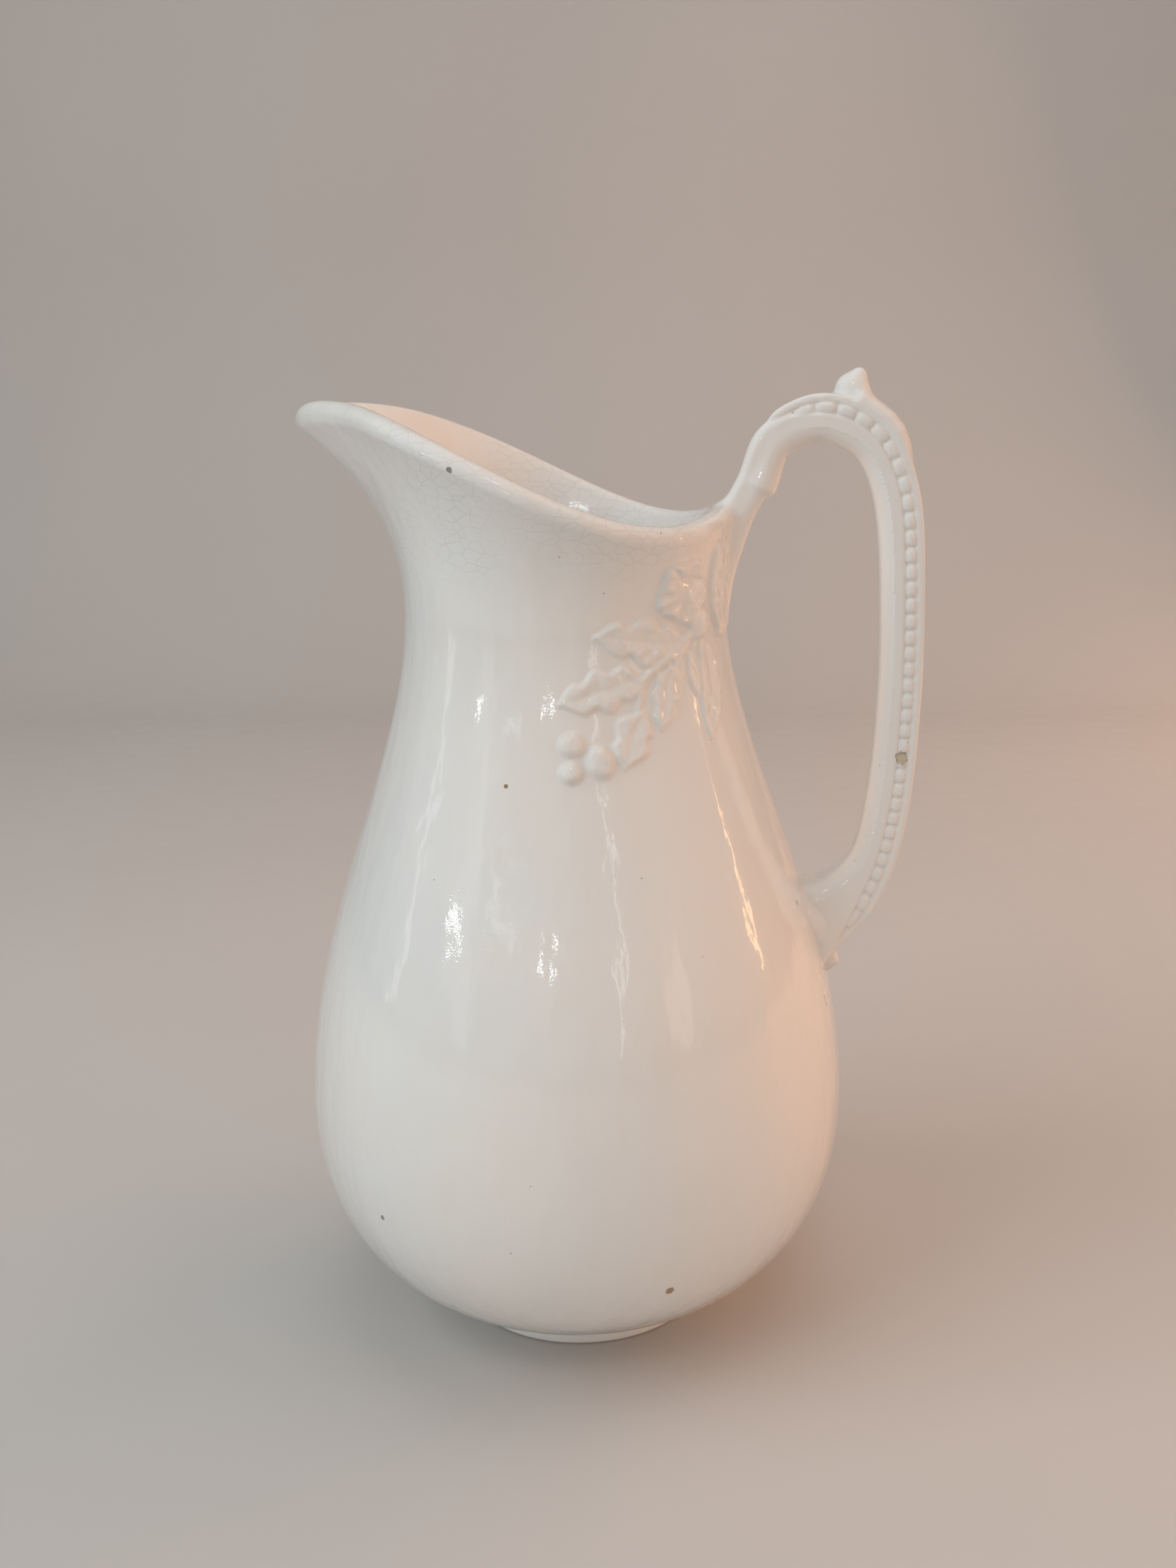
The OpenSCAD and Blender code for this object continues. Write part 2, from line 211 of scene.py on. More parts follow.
def body_distance(x, y, z):
    """Signed distance to the wall and lip, for a grid of x, y and z."""
    a = np.degrees(np.arctan2(np.abs(y), -x))
    r = np.hypot(x, y)
    outer, inner = wall(a, z), wall(a, z, -1)
    slope = wall(a, z + 0.5) - wall(a, z - 0.5)
    size, lip_r, lip_z = lip(a)
    sheet = np.maximum(r - outer, inner - r) / np.sqrt(1 + slope ** 2)
    lean = lip_lean(a)
    above = (z - lip_z) * np.cos(lean) + (r - lip_r) * np.sin(lean)
    return np.minimum(np.maximum(sheet, above), np.hypot(r - lip_r, z - lip_z) - size)


# ---- Meshes ----

def new_object(name, verts, faces):
    """A smooth object from points in millimetres."""
    mesh = bpy.data.meshes.new(name)
    mesh.from_pydata((np.asarray(verts) * MM).tolist(), [], [list(map(int, f)) for f in faces])
    mesh.polygons.foreach_set("use_smooth", [True] * len(mesh.polygons))
    mesh.update()
    obj = bpy.data.objects.new(name, mesh)
    bpy.context.collection.objects.link(obj)
    return obj


def thin_solid(name, verts, quads, normals, depth):
    """A closed piece from part of a surface: its faces, a copy of them depth inside and a border.

    The outer faces keep the surface's own normals, so neighbouring pieces shade as one glaze.
    """
    used, index = np.unique(quads, return_inverse=True)
    quads = index.reshape(quads.shape)
    outer, normals = verts[used], normals[used]
    inner = outer - normals * depth
    n = len(used)
    edges = np.concatenate([quads[:, [i, (i + 1) % 4]] for i in range(4)])
    _, first, count = np.unique(np.sort(edges, axis=1), axis=0, return_index=True,
                                return_counts=True)
    border = edges[first[count == 1]]
    faces = np.concatenate([quads, quads[:, ::-1] + n,
                            np.stack([border[:, 1], border[:, 0], border[:, 0] + n,
                                      border[:, 1] + n], 1)])
    obj = new_object(name, np.vstack([outer, inner]), faces)
    mesh = obj.data
    mesh.polygons.foreach_set("use_smooth", np.arange(len(faces)) < len(quads))
    loops = np.zeros((4 * len(faces), 3))
    loops[:4 * len(quads)] = normals[quads.ravel()]
    mesh.normals_split_custom_set(loops.tolist())
    return obj


def ring_mesh(name, rings, bottom, top):
    """A skin over rings of points, closed by a point at each end of the list."""
    rows, columns = rings.shape[:2]
    verts = np.vstack([rings.reshape(-1, 3), [bottom, top]])
    i, j = np.meshgrid(np.arange(rows - 1), np.arange(columns), indexing="ij")
    k = (j + 1) % columns
    quads = np.stack([i * columns + j, i * columns + k, (i + 1) * columns + k,
                      (i + 1) * columns + j], -1).reshape(-1, 4).tolist()
    end = rows * columns
    last = (rows - 1) * columns
    caps = [[(j + 1) % columns, j, end] for j in range(columns)]
    caps += [[last + j, last + (j + 1) % columns, end + 1] for j in range(columns)]
    return new_object(name, verts, quads + caps)


def make_body():
    """The hollow body, in rings from the middle of its underside over the lip to its inner floor."""
    columns = 288
    angle = np.arange(columns) * 360 / columns
    a = np.where(angle > 180, 360 - angle, angle)
    turn = np.where(angle > 180, -1, 1)
    ar = np.radians(a)

    def ring(r, z):
        r, z = np.broadcast_to(r, a.shape), np.broadcast_to(z, a.shape)
        return np.stack([-r * np.cos(ar), turn * r * np.sin(ar), z], -1)

    spread = np.linspace(0, 1, 101) ** 1.25
    low = FOOT_Z + (FLARE_Z - FOOT_Z) * spread
    size, lip_r, lip_z = lip(a)
    lean = lip_lean(a)
    rings = [ring(r, FOOT_Z) for r in np.linspace(4, 37, 9)]
    rings += [ring(wall(a, z), z) for z in low]
    for t in np.linspace(0, 1, 61)[1:]:
        z = FLARE_Z + (wall_edge(a, 1)[1] - FLARE_Z) * t
        rings.append(ring(wall(a, z), z))
    for t in np.linspace(0, pi, 17)[1:-1]:
        rings.append(ring(lip_r + size * np.cos(t - lean), lip_z + size * np.sin(t - lean)))
    for t in np.linspace(1, 0, 43)[:-1]:
        z = FLARE_Z + (wall_edge(a, -1)[1] - FLARE_Z) * t
        rings.append(ring(wall(a, z, -1), z))
    # Near the floor the inner wall turns inwards over a rounded corner
    corner_height, tuck, floor_lift = 18, 2, 5.4
    for z in low[::-1][::2]:
        lift = max(0, 1 - (z - FOOT_Z) / corner_height)
        rings.append(ring(wall(a, z, -1) - tuck * lift, z + floor_lift * lift))
    floor_edge_r, floor_edge_z, crown = 30, 8.95, 0.4
    rings += [ring(r, floor_edge_z + crown * (1 - r / floor_edge_r)) for r in (29, 26, 21, 14, 7)]
    return ring_mesh("Pitcher_body", np.array(rings), [0, 0, FOOT_Z], [0, 0, 9.4])


def make_foot():
    """The foot ring: rounded edges and a shallow hollow worn into the standing face."""
    outer, width, tuck, rounding = 39.5, 6, 1.2, 1.0
    worn_edge, worn_depth = 2.4, 0.12
    corner = np.linspace(0, pi / 2, 6)
    section = [(outer - tuck, FOOT_Z + 0.6), (outer - 0.4, FOOT_Z - 0.5), (outer, FOOT_Z - 1.2)]
    section += [(outer - rounding + rounding * cos(t), rounding - rounding * sin(t)) for t in corner]
    section += [(outer - worn_edge, worn_depth), (outer - width + worn_edge, worn_depth)]
    section += [(outer - width + rounding - rounding * sin(t), rounding - rounding * cos(t))
                for t in corner]
    section += [(outer - width, FOOT_Z - 1), (outer - width + 0.8, FOOT_Z + 0.6)]
    columns = 240
    turn = np.arange(columns) * 2 * pi / columns
    uneven = 0.12 * np.cos(2 * turn + 1) + 0.05 * np.cos(7 * turn)
    verts = np.array([[(r + uneven[j]) * cos(t), (r + uneven[j]) * sin(t), z]
                      for r, z in section for j, t in enumerate(turn)])
    n = len(section)
    faces = [[i * columns + j, ((i + 1) % n) * columns + j,
              ((i + 1) % n) * columns + (j + 1) % columns, i * columns + (j + 1) % columns]
             for i in range(n) for j in range(columns)]
    return new_object("Foot_ring", verts, faces)


# ---- Handle ----

# Centre line of the strap in the XZ plane: x, z, thickness, half width and how far the back of
# the bar is cut away to make room for the beads
STRAP = Path([[44.6, 214, 3.4, 6, 0], [45.2, 222, 5.6, 6.2, 0], [46, 230, 8, 6.6, 0],
              [47.9, 238, 9.6, 6.8, 0], [50.8, 246, 9.8, 6.8, 0], [55.2, 254.2, 10, 6.8, 0],
              [58.8, 262.6, 11, 7, 0], [63.4, 267.4, 12.4, 7, 0.3], [70.4, 270.4, 13.2, 7, 0.85],
              [77.2, 270.2, 13.6, 7, 1], [84, 267.2, 13.4, 7, 1], [89.2, 262.4, 13, 7, 1],
              [92.9, 255, 12.9, 7, 1], [95.3, 245.5, 12.9, 7, 1], [96.5, 233.5, 12.6, 7, 1],
              [97, 219, 12.4, 7, 1], [97.1, 203, 12.3, 7, 1], [96.6, 187, 12.3, 7, 1],
              [95.6, 172, 12.4, 7, 1], [93.9, 158, 12.5, 7, 1], [90.6, 143.5, 12.8, 7, 1],
              [85.2, 134, 16, 7.4, 1], [79, 127.6, 20.5, 8.6, 0.8], [70.2, 122.6, 27, 10.5, 0]])
# The handle is sampled on a grid of this step over these ranges, with distances cut off at FIELD_REACH.
# It flows into a surface BURY inside the wall, and each piece of it is a skin of this depth.
VOXEL = 0.42
HANDLE_X, HANDLE_Y, HANDLE_Z = (40.0, 107.5), (-18.9, 19.3), (101.0, 287.5)
FIELD_REACH = 3.0
BURY = 0.03
HANDLE_SKIN = 0.8


def rounded_bar(n, y, n0, n1, half, r0, r1):
    """Section of a bar from n0 to n1, half wide each side, with corner radii r0 at n0 and r1 at n1."""
    middle, reach = (n0 + n1) / 2, (n1 - n0) / 2
    r = np.where(n < middle, r0, r1)
    qn, qy = np.abs(n - middle) - reach + r, np.abs(y) - half + r
    outside = np.hypot(np.maximum(qn, 0), np.maximum(qy, 0))
    return outside + np.minimum(np.maximum(qn, qy), 0) - r


def ball_chain(x, y, z, balls, widen):
    """Round cones through balls (x, z, radius) in the handle's plane, widened in y."""
    field = None
    for (ax, az, ar), (bx, bz, br) in zip(balls, balls[1:]):
        run = np.hypot(bx - ax, bz - az)
        ux, uz = (bx - ax) / run, (bz - az) / run
        slant = (ar - br) / np.sqrt(run ** 2 - (ar - br) ** 2)
        along = (x - ax) * ux + (z - az) * uz
        aside = np.hypot((x - ax) * uz - (z - az) * ux, y / widen)
        t = np.clip((along - aside * slant) / run, 0, 1)
        part = np.hypot(along - t * run, aside) - (ar + t * (br - ar))
        field = part if field is None else np.minimum(field, part)
    return field


def bead_field(s, n, y, t, half):
    """Rounded beads along the channel: shorter and shorter downwards, and long beside the lower root."""
    start, late, end = STRAP.knots[7] - 1, STRAP.knots[21] + 1, STRAP.knots[22] - 0.5
    first, last, long, high, boxy = 5.1, 4.1, 6.2, 1.5, 2.6
    # The pitch shrinks evenly along the row, which makes the count of beads a logarithm of it
    low = np.minimum(s, late)
    pitch = first + (last - first) * (low - start) / (late - start)
    count = np.log(np.maximum(pitch, 1) / first) * (late - start) / (last - first)
    count = count + np.maximum(s - late, 0) / long
    inside = ease(start - 0.5, start, s) * ease(end + 0.5, end, s)
    grow = 0.7 + 0.3 * ease(STRAP.knots[7], STRAP.knots[9], s)
    grow = grow * (1 - 0.45 * ease(STRAP.knots[21] + 2, STRAP.knots[22], s))
    local = (count - np.floor(count) - 0.5) / 0.49
    across = (n - t / 2 + 3.95) / (1.6 * grow)
    bulge = (np.abs(y) - half + 1.3) / (1.45 * grow)
    size = np.abs(local) ** boxy + np.abs(across) ** boxy + np.abs(bulge) ** boxy
    return (size ** (1 / boxy) - 1) * high * grow + 3 * (1 - inside)


def strap_field(n, y, t, half, cut):
    """The strap: a rounded bar, with a narrower core where its back is cut away beside the beads."""
    back = t / 2 - cut * 5.5
    roll = rounded_bar(n, y, -t / 2, back, half, np.minimum(0.42 * t, 5.4), 2.6 - 1.6 * cut)
    core = rounded_bar(n, y, -t / 4, t / 2 - 1.2, half - 1.1, 1, 1)
    return soft_min(roll, core, 0.9)


def band_field(s, n, y, t, half):
    """The raised band along the back, which sinks out of sight at both ends."""
    band = rounded_bar(n, y, t / 2 - 2.4, t / 2, half - 0.4, 0.7, 1.2)
    shown = ease(STRAP.knots[6], STRAP.knots[7] + 1, s) * ease(STRAP.knots[22] + 3, STRAP.knots[21] + 2, s)
    return band + 2.2 * (1 - shown)


def spur_field(x, y, z):
    """The thumb spur: a blunt horn, and a flank that runs down the back of the arch."""
    lobe = ball_chain(x, y, z, [(80.8, 272, 5.2), (82, 278.2, 4.8), (83.8, 281.9, 2.3)], 0.95)
    flank = ball_chain(x, y, z, [(84.6, 275, 3.1), (88, 272.5, 3.2), (91.5, 269.8, 3.2),
                                 (94.2, 266.4, 3.2), (95.9, 262.2, 3), (96.9, 257, 2.8),
                                 (98, 248, 2.3)], 2.1)
    return soft_min(lobe, flank, 4.5)


def calyx_field(s, n, y):
    """The calyx round the upper root: a cup that is widest near its lower edge."""
    length = 14
    along = (s - STRAP.knots[5] + 3.6) / length
    swell = (6.1 - 1.6 * along) * (0.76 + 0.24 * ease(-0.02, 0.2, along))
    cup = (np.hypot((n + 1.3) / swell, y / (swell + 1.7)) - 1) * 5.5
    return soft_max(cup, np.maximum(-along, along - 1) * length, 2.6)


def terminal_field(y, z, gap):
    """The leaf-shaped tongue that lies on the wall below the lower root."""
    top, tip = 134, 105.2
    reach = 12.6 * np.clip((z - tip - 1) / 17, 0.001, 1) ** 0.6
    height = 4.4 * (1 - (np.abs(y) / reach) ** 5) * ease(top, top - 10, z) * ease(tip, tip + 5.3, z)
    return np.maximum((gap - np.maximum(height, -2.5)) * 0.8, z - top)


def handle_fields():
    """The handle's pieces as distance fields on one grid, and the wall they grow from."""
    x = np.arange(*HANDLE_X, VOXEL)[:, None, None]
    y = np.arange(*HANDLE_Y, VOXEL)[None, :, None]
    z = np.arange(*HANDLE_Z, VOXEL)[None, None, :]
    s, n, past = (found[:, None, :] for found in STRAP.locate(x[:, :, 0], z[:, 0, :]))
    t, half, cut = (STRAP.at(s, column) for column in (2, 3, 4))
    past = np.abs(past)
    gap = body_distance(x, y, z)
    beads = bead_field(s, n, y, t, half) + past
    parts = {"Handle_strap": strap_field(n, y, t, half, cut) + past,
             "Handle_back_band": band_field(s, n, y, t, half) + past,
             "Thumb_spur": spur_field(x, y, z),
             "Upper_calyx": calyx_field(s, n, y) + past,
             "Lower_terminal": terminal_field(y, z, gap),
             "Bead_row_left": np.maximum(beads, y + 2),
             "Bead_row_right": np.maximum(beads, 2 - y)}
    return {name: part.astype(np.float32) for name, part in parts.items()}, gap.astype(np.float32)


def sample(field, points):
    """Value of a grid field at points given in grid steps."""
    low = np.clip(np.floor(points).astype(int), 0, np.array(field.shape) - 2)
    f = np.clip(points - low, 0, 1)
    total = 0
    for corner in np.ndindex(2, 2, 2):
        weight = np.prod(np.where(np.array(corner) == 1, f, 1 - f), axis=1)
        total = total + weight * field[tuple((low + corner).T)]
    return total


def field_gradient(field, points):
    """Slope of a grid field, per grid step."""
    steps = np.eye(3) * 0.5
    return np.stack([sample(field, points + d) - sample(field, points - d) for d in steps], -1)


def joined(parts, gap):
    """The handle's pieces and the wall as one field, with a soft fillet at each joint."""
    z = np.arange(*HANDLE_Z, VOXEL)[None, None, :]
    solid = soft_min(parts["Handle_strap"], parts["Handle_back_band"], 0.9)
    solid = soft_min(solid, np.minimum(parts["Bead_row_left"], parts["Bead_row_right"]), 1.0)
    solid = soft_min(solid, parts["Upper_calyx"], 1.4)
    solid = soft_min(solid, parts["Thumb_spur"], 1.6)
    solid = soft_min(solid, parts["Lower_terminal"], 2.5)
    fillet = 0.7 + 1.3 * ease(124, 133, z) + 4 * ease(190, 215, z)
    field = soft_min(solid, gap + BURY, fillet).astype(np.float32)
    return np.clip(field, -FIELD_REACH, FIELD_REACH)


def surface(field):
    """Points in grid steps, quads and normals of the surface where a field is zero."""
    grid = openvdb.FloatGrid(FIELD_REACH)
    grid.copyFromArray(field)
    points, quads = grid.convertToQuads(0.0)
    points = points.astype(float)
    for _ in range(3):
        slope = field_gradient(field, points)
        step = sample(field, points) / np.maximum((slope ** 2).sum(axis=1), 0.02)
        points -= np.clip(step, -1, 1)[:, None] * slope
    normals = field_gradient(field, points)
    normals /= np.maximum(np.linalg.norm(normals, axis=1), 1e-9)[:, None]
    return points, quads, normals


def make_handle():
    """Cuts the joined surface into pieces: each face goes to the nearest one, and the wall's are left."""
    parts, gap = handle_fields()
    points, quads, normals = surface(joined(parts, gap))
    centre = points[quads].mean(axis=1)
    near = np.stack([sample(part, centre) for part in parts.values()])
    owner = near.argmin(axis=0)
    kept = sample(gap, centre) > -BURY + 0.004
    kept &= np.all((centre > 2) & (centre < np.array(gap.shape) - 3), axis=1)
    kept &= near.min(axis=0) < 8
    verts = np.array([HANDLE_X[0], HANDLE_Y[0], HANDLE_Z[0]]) + points * VOXEL
    return {name: thin_solid(name, verts, quads[kept & (owner == i)], normals, HANDLE_SKIN)
            for i, name in enumerate(parts)}


# ---- Relief on the neck ----

# The relief is drawn flat, u towards the handle and v upwards in millimetres, and wrapped on the neck:
# u is 0 at the angle MIDDLE_A, and v is z. Its pieces are skins too, and their edges lie inside the wall.
STEP = 0.24
U_PER_DEGREE, MIDDLE_A = 0.82, 145
RELIEF_A, RELIEF_Z = (84.0, 176.0), (166.0, 243.5)
RELIEF_SKIN, RELIEF_BURY = 0.6, 0.02


def dome(u, v, cu, cv, ru, rv, height, tilt=0.0):
    """A round-topped swelling. Like stem and leaf, it goes on falling below zero outside its edge."""
    c, s = cos(radians(tilt)), sin(radians(tilt))
    p, q = ((u - cu) * c + (v - cv) * s) / ru, (-(u - cu) * s + (v - cv) * c) / rv
    d = np.hypot(p, q)
    return np.where(d < 1, height * np.sqrt(np.maximum(1 - d ** 2.4, 0)), (1 - d) * min(ru, rv))


def stem(u, v, points, r0, r1, height=1.0):
    """A round stem through points, with radius r0 at its start and r1 at its end."""
    path = Path(points, 14)
    s, off, past = path.locate(u, v)
    r = r0 + (r1 - r0) * s / path.length
    d = np.hypot(off, past) / r
    return np.where(d < 1, height * r * np.sqrt(np.maximum(1 - d * d, 0)), (1 - d) * r)


def groove(u, v, points, width, depth):
    """How deep a soft groove through points is."""
    path = Path(points, 14)
    s, off, past = path.locate(u, v)
    ends = np.sin(pi * np.clip(s / path.length, 0, 1)) ** 0.5
    return depth * ends * np.exp(-(np.hypot(off, past) / width) ** 2)


def leaf(u, v, points, half, height, lobes=0, depth=0.0, shift=0.0, cupped=0.35, rib=0.35):
    """A leaf along an axis. Lobes cut depth into its edge, and its middle lies below the edge."""
    path = Path(points, 14)
    s, off, past = path.locate(u, v)
    t = s / path.length
    width = half * np.sin(pi * np.clip(t, 0.02, 0.985) ** 0.85) ** 0.62
    if lobes:
        lean = t + 0.035 * np.abs(off) / half
        beat = np.cos(2 * pi * (lobes * lean + shift * np.sign(off)))
        width = width * (1 - depth * (0.5 + 0.5 * beat) ** 1.6)
    width = np.maximum(width, 0.25)
    q = np.hypot(off, past) / width
    top = np.sqrt(np.maximum(1 - q ** 7, 0)) * (1 - cupped + cupped * q * q)
    veins = 0.0
    if lobes:
        veins = 0.2 * np.cos(2 * pi * (lobes * (t - 0.06 * np.abs(off) / half)) + pi) * q * (1 - q)
    face = height * top - rib * np.exp(-(off / 0.55) ** 2) * np.sin(pi * np.clip(t, 0, 1)) + veins
    return np.where(q < 1, face, (1 - q) * width)


def flower(u, v):
    """A ruffled open flower seen a little from the side."""
    cu, cv = -5.6, 226.2
    turn = np.arctan2(v - cv, u - cu)
    reach = 9.2 * (1 + 0.075 * np.cos(5 * turn + 0.9) + 0.03 * np.cos(2 * turn))
    q = np.hypot(u - cu, v - cv) / reach
    cup = np.sqrt(np.maximum(1 - q ** 7, 0)) * (1.15 + 1.25 * q * q)
    face = np.where(q < 1, cup, (1 - q) * 7)
    folds = groove(u, v, [[-10.6, 228.4], [-6, 229.6], [-1, 229.0], [3.6, 228.6]], 0.75, 1.0)
    folds += groove(u, v, [[-16.6, 224.2], [-13.5, 225.4], [-10.3, 225.6]], 0.8, 1.2)
    folds += groove(u, v, [[-14.4, 220.4], [-11.5, 222.4], [-8.6, 223.2]], 0.8, 1.1)
    folds += groove(u, v, [[-8.6, 216.6], [-7.2, 219.4], [-6.2, 222.2]], 0.8, 1.0)
    folds += groove(u, v, [[-12.8, 233.4], [-9.8, 231.6], [-7.8, 229.8]], 0.7, 0.8)
    hollows = 0.8 * np.exp(-((u + 2.4) / 3.9) ** 2 - ((v - 232) / 2.0) ** 2)
    hollows += 0.5 * np.exp(-((u + 12.4) / 2.4) ** 2 - ((v - 229.4) / 2.2) ** 2)
    heart = 0.9 * np.exp(-((u + 4.4) / 2.6) ** 2 - ((v - 225.2) / 2.2) ** 2)
    return face + (heart - folds - hollows) * (q < 1.05)


def tie(u, v):
    """The knob that the stems spring from."""
    knot = dome(u, v, 0.9, 216.6, 4.9, 4.7, 2.3, 20)
    return soft_max(knot, stem(u, v, [[-4.2, 214.2], [-1.5, 213.7], [0.4, 214.6]], 1.2, 2.2, 0.9), 0.8)


def stems(u, v):
    """The main stem and four short ones."""
    return np.maximum.reduce([
        stem(u, v, [[-3.4, 214.1], [-7, 211.6], [-10.8, 209], [-15.5, 206.6], [-18.3, 204.6],
                    [-20.2, 202.6], [-20.9, 199.6], [-22.1, 195.6]], 1.15, 0.75, 1.25),
        stem(u, v, [[-3.6, 212.2], [-6.6, 209.4], [-9.2, 206.8], [-9.9, 203]], 0.85, 0.6, 1.1),
        stem(u, v, [[-1.4, 212], [-2.6, 208.6], [-3.2, 205]], 0.95, 0.7, 1.1),
        stem(u, v, [[0.8, 212], [0.5, 207], [0, 202]], 0.9, 0.6, 1.0),
        stem(u, v, [[-15.8, 206.2], [-15.2, 202.4], [-15.8, 198]], 0.7, 0.5, 1.0),
    ])


def lobed_leaves(u, v):
    """Four lobed leaves and two small plain ones between the stems."""
    single = [
        leaf(u, v, [[-5.6, 213], [-13, 212.4], [-21.5, 214.2], [-32.3, 215.6]], 6.6, 1.35, 3, 0.34, 0.07),
        leaf(u, v, [[-20.4, 203.2], [-27, 202.4], [-34, 200.6], [-42.2, 198.4]], 6.2, 1.3, 3, 0.34, 0.08),
        leaf(u, v, [[-11.4, 206], [-13, 201], [-14.6, 195.4], [-16.2, 190.2]], 4.2, 1.1, 3, 0.22, 0.1),
        leaf(u, v, [[-20.8, 194.6], [-23.6, 190.4], [-25.4, 185.6], [-26.8, 181.2]], 5.4, 1.25, 2, 0.3, 0.1),
        leaf(u, v, [[-7.4, 208.6], [-8.6, 204.6], [-9, 199.4]], 2.1, 0.8, cupped=0.2, rib=0.15),
        leaf(u, v, [[-4, 209], [-3.2, 204.5], [-2.6, 197.6]], 2.1, 0.9, cupped=0.2, rib=0.2),
    ]
    leaves = single[0]
    for other in single[1:]:
        leaves = soft_max(leaves, other, 0.4)
    return leaves


def pointed_leaf(u, v):
    """The long leaf below the tie, with a shallow dent."""
    face = leaf(u, v, [[2.2, 212.4], [4.2, 206], [4.2, 199], [1.6, 192], [-0.6, 185.6]], 5.2, 1.2,
                cupped=0.4, rib=0.25)
    return face - 0.5 * np.exp(-((u - 4.6) / 2.2) ** 2 - ((v - 204.5) / 3.6) ** 2)


def root_leaf(u, v):
    """The leaf up the handle's root, with a raised rib. It fades out below the lip."""
    face = leaf(u, v, [[12.6, 213.4], [13.4, 222], [14.6, 232], [16, 244], [17, 253]], 7.8, 1.7,
                cupped=0.0, rib=-0.7)
    return face - 4 * ease(235, 242, v)


def buds(u, v):
    """A bunch of three."""
    return np.maximum.reduce([dome(u, v, -39.3, 187.8, 3.3, 3.3, 1.8),
                              dome(u, v, -32.6, 183.2, 3.3, 4.4, 2.0, 12),
                              dome(u, v, -39.6, 180.8, 2.9, 2.9, 1.7)])


RELIEF = {"Flower": flower, "Spray_tie": tie, "Spray_stems": stems, "Root_leaf": root_leaf,
          "Lobed_leaves": lobed_leaves, "Pointed_leaf": pointed_leaf, "Buds": buds}


def blur(values, sigma):
    """Softens a height field, as a thick glaze does."""
    reach = int(3 * sigma) + 1
    weights = np.exp(-0.5 * (np.arange(-reach, reach + 1) / sigma) ** 2)
    weights /= weights.sum()
    for axis in (0, 1):
        values = np.apply_along_axis(lambda row: np.convolve(np.pad(row, reach, "edge"), weights,
                                                             "valid"), axis, values)
    return values


def relief_height(a, z):
    """Height of the whole spray above the wall, and the number of the piece that each place is on."""
    heights = np.stack([shape((a - MIDDLE_A) * U_PER_DEGREE, z) for shape in RELIEF.values()])
    lowest = -5.0
    total = np.full(a.shape, lowest)
    for part in heights:
        total = soft_max(total, np.maximum(part, lowest), 0.5)
    lumps = blur(np.random.default_rng(7).normal(size=a.shape), 3.2)
    lumps *= 0.13 / lumps.std()
    total = blur(total + lumps * ease(-0.2, 0.8, total), 2.0)
    return soft_max(total, 0.0, 1.5) - RELIEF_BURY, heights.argmax(axis=0)


def make_relief():
    """The spray on both sides, cut into its pieces where it stands proud of the wall."""
    a, z = np.meshgrid(np.arange(*RELIEF_A, STEP / U_PER_DEGREE), np.arange(*RELIEF_Z, STEP),
                       indexing="ij")
    total, owner = relief_height(a, z)
    rows, columns = a.shape
    i, j = np.meshgrid(np.arange(rows - 1), np.arange(columns - 1), indexing="ij")
    quads = np.stack([i * columns + j, i * columns + j + 1, (i + 1) * columns + j + 1,
                      (i + 1) * columns + j], -1).reshape(-1, 4)
    proud = total.ravel()[quads].max(axis=1) > 0.0015 - RELIEF_BURY
    quad_owner = owner.ravel()[quads[:, 0]]
    pieces = {}
    for side, turn in SIDES.items():
        verts = on_wall(a, z, turn, total)
        along_a, along_z = np.gradient(verts, axis=0), np.gradient(verts, axis=1)
        normals = np.cross(along_a, along_z) * -turn
        normals = (normals / np.linalg.norm(normals, axis=-1)[..., None]).reshape(-1, 3)
        verts = verts.reshape(-1, 3)
        facing = quads if turn > 0 else quads[:, ::-1]
        for number, piece in enumerate(RELIEF):
            name = piece + "_" + side
            chosen = facing[proud & (quad_owner == number)]
            pieces[name] = thin_solid(name, verts, chosen, normals, RELIEF_SKIN)
    return pieces


# ---- Glaze ----

class Nodes:
    """Short ways to add nodes to a material."""

    def __init__(self, name):
        self.material = bpy.data.materials.new(name)
        self.material.use_nodes = True
        self.tree = self.material.node_tree
        self.shader = self.tree.nodes["Principled BSDF"]

    def add(self, kind, inputs, **settings):
        node = self.tree.nodes.new(kind)
        for key, value in settings.items():
            setattr(node, key, value)
        for key, value in inputs.items():
            self.put(node.inputs[key], value)
        return node

    def put(self, socket, value):
        if isinstance(value, bpy.types.NodeSocket):
            self.tree.links.new(value, socket)
        else:
            socket.default_value = value

    def maths(self, operation, *values):
        return self.add("ShaderNodeMath", dict(enumerate(values)), operation=operation).outputs[0]

    def ramp(self, value, low, high, to_low=0.0, to_high=1.0):
        """A smooth step from to_low at low to to_high at high. low may be the larger of the two."""
        node = self.add("ShaderNodeMapRange", {"Value": value, "From Min": low, "From Max": high,
                                               "To Min": to_low, "To Max": to_high},
                        interpolation_type="SMOOTHSTEP")
        return node.outputs["Result"]

    def noise(self, where, scale, detail=2.0, rough=0.5):
        node = self.add("ShaderNodeTexNoise", {"Vector": where, "Scale": scale, "Detail": detail,
                                               "Roughness": rough})
        return node.outputs["Fac"]

    def mix(self, amount, one, two):
        node = self.add("ShaderNodeMix", {"Factor": amount}, data_type="RGBA")
        self.put(node.inputs[6], one)
        self.put(node.inputs[7], two)
        return node.outputs[2]

    def bump(self, height, distance, normal=None):
        inputs = {"Height": height, "Distance": distance, "Strength": 1.0}
        if normal is not None:
            inputs["Normal"] = normal
        return self.add("ShaderNodeBump", inputs).outputs["Normal"]


